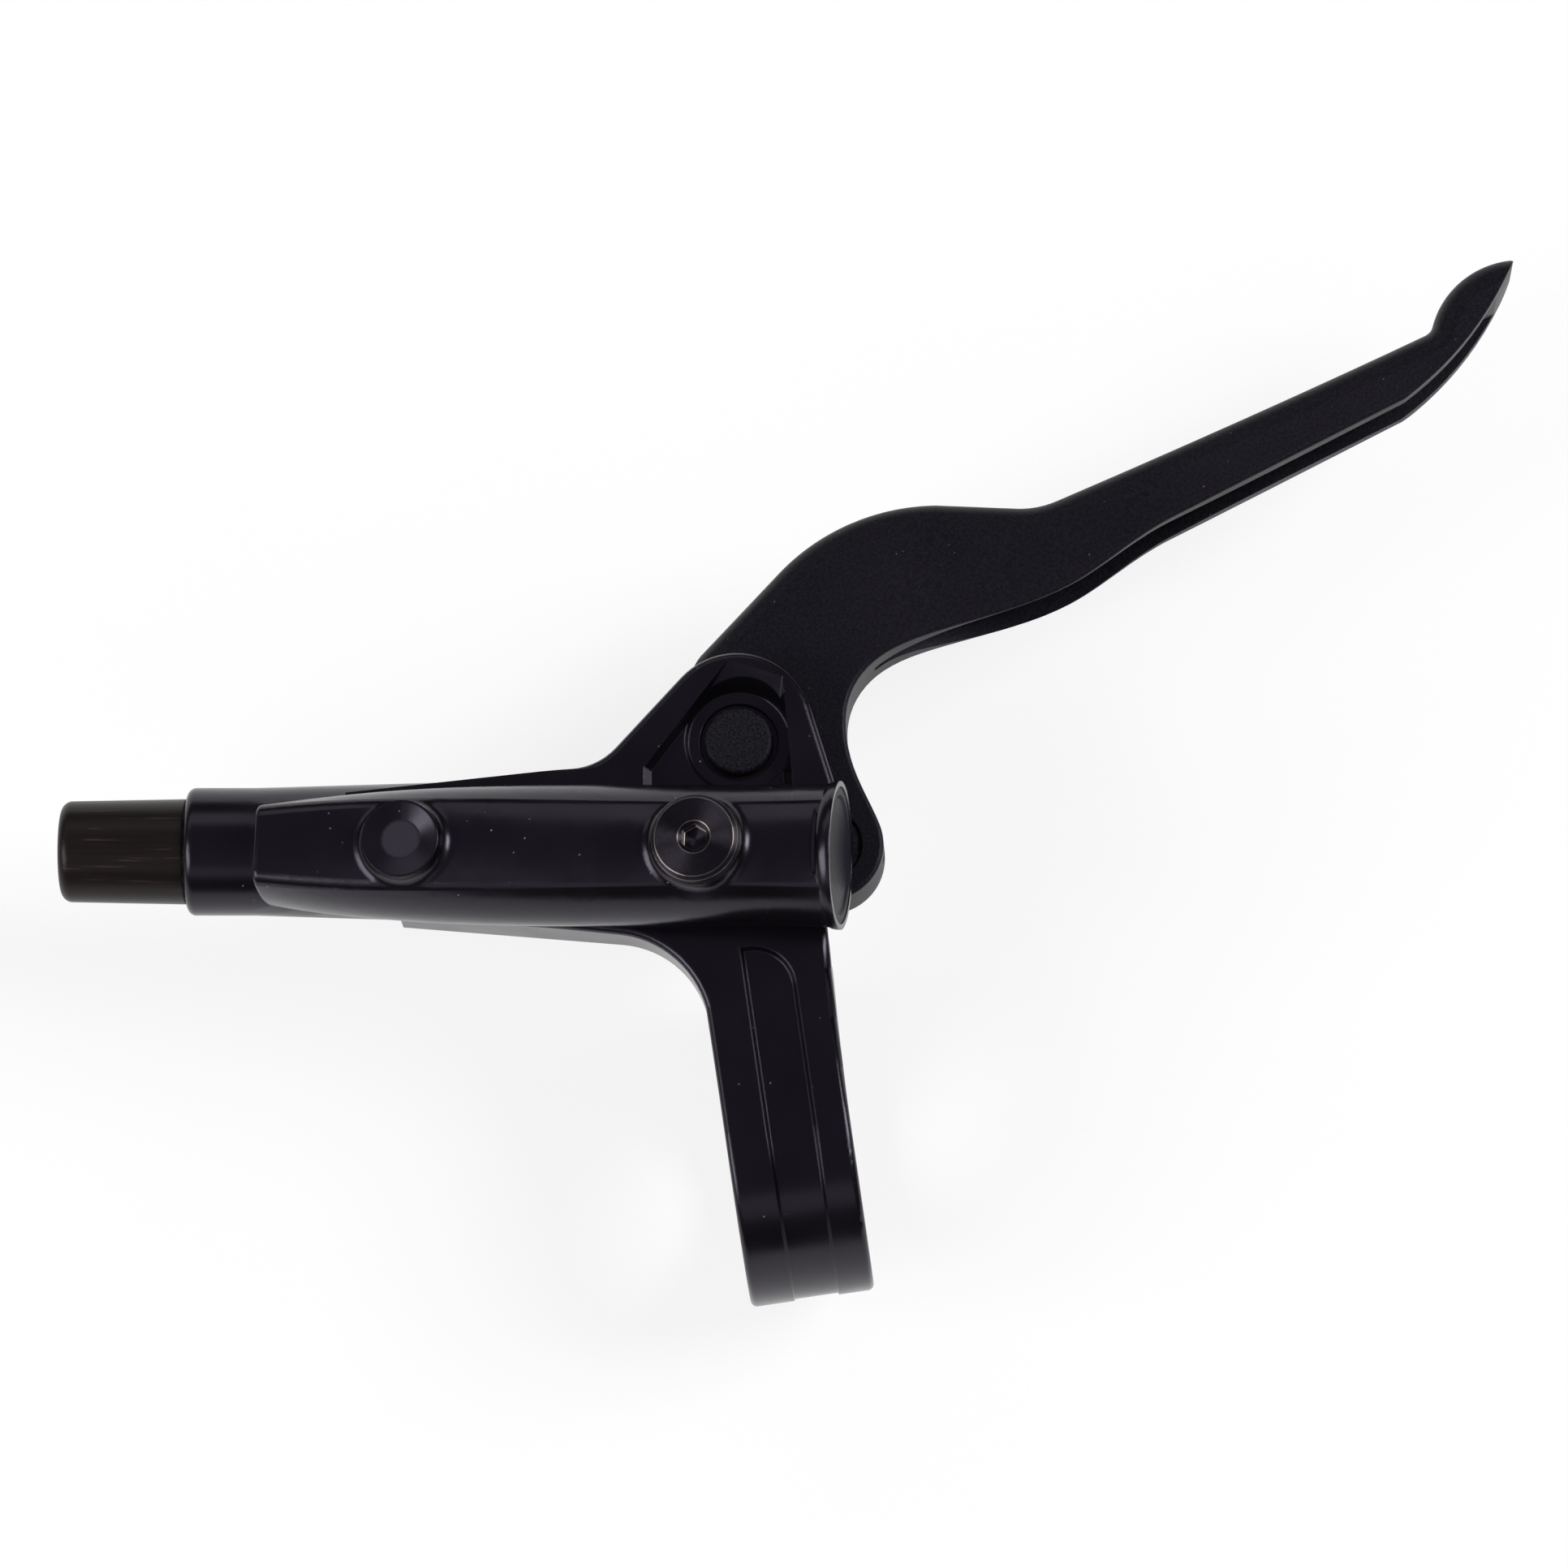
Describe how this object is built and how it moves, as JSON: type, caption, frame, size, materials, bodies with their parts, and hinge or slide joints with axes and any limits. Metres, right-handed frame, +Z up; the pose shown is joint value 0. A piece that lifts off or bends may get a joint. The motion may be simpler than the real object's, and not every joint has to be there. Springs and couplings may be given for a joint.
{
  "type": "hydraulic bicycle brake lever",
  "caption": "Right-hand hydraulic disc brake lever for a flat handlebar, with a slim master cylinder, a sloping reservoir tube, a bar clamp and a curved channel-section blade.",
  "frame": {"origin": "centre of the clamped handlebar, in the middle of the clamp's width", "axes": "+X along the bar towards its outer end, +Y forwards away from the rider, +Z up"},
  "size_m": [0.1643, 0.0992, 0.0447],
  "materials": {
    "body_paint": "gloss black paint on a forged aluminium body",
    "blade_paint": "fine satin black paint on an aluminium blade",
    "black_steel": "blackened steel with turned faces",
    "cover_plastic": "satin black sleeve, scratched lengthwise",
    "cap_plastic": "gloss black plastic",
    "steel": "plain zinc-plated steel",
    "piston_alloy": "machined aluminium",
    "bush_plastic": "dark bearing plastic",
    "rubber": "matte black rubber",
    "olive_brass": "plain brass"
  },
  "bodies": {
    "body": {"lever_body": "body_paint", "bleed_screw": "black_steel", "bleed_o_ring": "rubber", "reservoir_cap": "cap_plastic", "reservoir_bladder": "rubber", "hose_cover": "cover_plastic", "hose_nut": "steel", "olive": "olive_brass", "pivot_pin": "black_steel", "pivot_clip": "steel", "stop_washer": "steel", "circlip": "steel", "dust_boot": "rubber", "return_spring": "steel", "clamp_bolt": "black_steel", "clamp_washer": "black_steel"},
    "blade": {"lever_blade": "blade_paint", "pivot_bush_upper": "bush_plastic", "pivot_bush_lower": "bush_plastic"},
    "rod": {"push_rod": "steel", "push_rod_barrel": "steel"},
    "piston_set": {"piston": "piston_alloy", "primary_cup": "rubber", "secondary_cup": "rubber"}
  },
  "joints": [
    {"name": "lever_pivot", "type": "hinge", "parent": "body", "child": "blade", "pos_m": [0.00075, 0.042, 0.008], "axis": [0, 0, 1], "range_deg": [-22, 0], "stiffness_Nm_per_rad": 0.6, "springref_deg": 14.32},
    {"name": "rod_pivot", "type": "hinge", "parent": "blade", "child": "rod", "pos_m": [0.00838, 0.03014, 0.008], "axis": [0, 0, 1], "range_deg": [0, 15.5]},
    {"name": "piston_slide", "type": "slide", "parent": "body", "child": "piston_set", "axis": [-0.989, 0.1478, 0], "range_m": [0, 0.0048], "deforming": ["return_spring"]}
  ],
  "couplings": [
    {"joint": "rod_pivot", "follows": "lever_pivot", "ratio": -0.63864},
    {"joint": "piston_slide", "follows": "lever_pivot", "m_per_rad": -0.011459}
  ]
}
